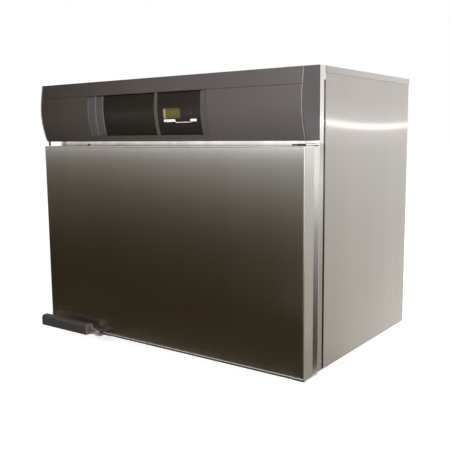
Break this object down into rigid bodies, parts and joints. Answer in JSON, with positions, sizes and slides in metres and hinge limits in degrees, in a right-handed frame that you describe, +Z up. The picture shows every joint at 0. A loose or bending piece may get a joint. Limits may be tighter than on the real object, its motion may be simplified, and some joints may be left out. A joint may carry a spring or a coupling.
{
  "type": "blanket warming cabinet",
  "caption": "Stainless steel countertop blanket warming cabinet with a side-hinged insulated door, a foot pedal opener and a dark moulded control fascia across the top.",
  "frame": {"origin": "middle of the footprint, on the surface that the feet stand on", "axes": "+X to the right seen from the front, +Y to the back, +Z up"},
  "size_m": [0.7644, 0.5632, 0.652],
  "materials": {
    "shell_steel": "satin brushed stainless sheet",
    "polished_steel": "bright polished stainless sheet",
    "plain_steel": "mill finish stainless",
    "zinc_steel": "zinc plated steel",
    "aluminium": "extruded aluminium",
    "heater_sheath": "heat darkened steel sheath",
    "mineral_wool": "mineral wool batt",
    "fascia_plastic": "fine textured grey moulding",
    "black_gloss": "gloss black panel",
    "display_face": "olive liquid crystal face",
    "light_red": "red lens",
    "key_white": "white key cap",
    "board_green": "circuit board",
    "black_plastic": "black moulded plastic",
    "white_plastic": "white moulded plastic",
    "gasket_rubber": "black door gasket",
    "foot_rubber": "black rubber foot",
    "pedal_rubber": "ribbed dark grey rubber",
    "bronze": "sintered bronze bush",
    "motor_steel": "black painted motor case",
    "copper_iron": "laminated iron with copper winding",
    "magnet_brown": "dark brown magnet case"
  },
  "bodies": {
    "cabinet": {"base_pan": "shell_steel", "side_panel_left": "shell_steel", "side_panel_right": "shell_steel", "rear_panel": "shell_steel", "top_cover": "shell_steel", "face_frame": "polished_steel", "machine_deck": "plain_steel", "chamber_liner": "shell_steel", "insulation_batts": "mineral_wool", "shelf_pilasters": "plain_steel", "shelf_clips": "plain_steel", "wire_shelf": "polished_steel", "ceiling_baffle": "plain_steel", "shaft_sleeve": "plain_steel", "motor_housing": "motor_steel", "motor_stator": "copper_iron", "motor_bearings": "plain_steel", "heater_element": "heater_sheath", "temperature_probe": "plain_steel", "overheat_thermostat": "black_plastic", "heat_sink": "aluminium", "solid_state_relay": "black_plastic", "terminal_block": "white_plastic", "inlet_socket": "black_plastic", "fuse_holder": "black_plastic", "switch_housing": "black_plastic", "fascia": "fascia_plastic", "fascia_end_caps": "fascia_plastic", "window_panel": "black_gloss", "control_panel": "black_gloss", "display": "display_face", "status_light": "light_red", "controller_board": "board_green", "controller_housing": "black_plastic", "machine_screws": "zinc_steel", "levelling_feet": "foot_rubber", "foot_lock_nuts": "zinc_steel", "hinge_brackets": "polished_steel", "hinge_pins": "plain_steel", "magnetic_catch": "magnet_brown", "door_sensor": "black_plastic", "kick_stop": "zinc_steel"},
    "door": {"door_outer_pan": "shell_steel", "door_insulation": "mineral_wool", "door_liner": "plain_steel", "door_gasket": "gasket_rubber", "hinge_bushings": "bronze", "catch_strike": "zinc_steel", "sensor_magnet": "magnet_brown", "pedal_bracket": "zinc_steel", "pedal_pin": "plain_steel"},
    "pedal": {"pedal_lever": "polished_steel", "pedal_pad": "pedal_rubber", "pedal_spring": "plain_steel"},
    "fan": {"fan_wheel": "zinc_steel", "fan_shaft": "plain_steel", "motor_rotor": "copper_iron"},
    "rocker": {"power_rocker": "black_plastic"},
    "set_key": {"set_key": "key_white"},
    "power_key": {"power_key": "key_white"}
  },
  "joints": [
    {"name": "door_swing", "type": "hinge", "parent": "cabinet", "child": "door", "pos_m": [0.366, -0.2286, 0.2625], "axis": [0, 0, 1], "range_deg": [0, 110]},
    {"name": "pedal_tilt", "type": "hinge", "parent": "door", "child": "pedal", "pos_m": [-0.2125, -0.2171, 0.02], "axis": [1, 0, 0], "range_deg": [0, 12], "stiffness_Nm_per_rad": 1.2, "springref_deg": -17.19},
    {"name": "fan_spin", "type": "hinge", "parent": "cabinet", "child": "fan", "pos_m": [0, 0.0284, 0.4992], "axis": [0, 0, 1], "continuous": true},
    {"name": "power_rocker_tip", "type": "hinge", "parent": "cabinet", "child": "rocker", "pos_m": [0.305, 0.2699, 0.56], "axis": [1, 0, 0], "range_deg": [-16, 0]},
    {"name": "set_key_press", "type": "slide", "parent": "cabinet", "child": "set_key", "axis": [0, 1, 0], "range_m": [0, 0.0008], "stiffness_N_per_m": 400, "springref_m": -0.002},
    {"name": "power_key_press", "type": "slide", "parent": "cabinet", "child": "power_key", "axis": [0, 1, 0], "range_m": [0, 0.0008], "stiffness_N_per_m": 400, "springref_m": -0.002}
  ]
}
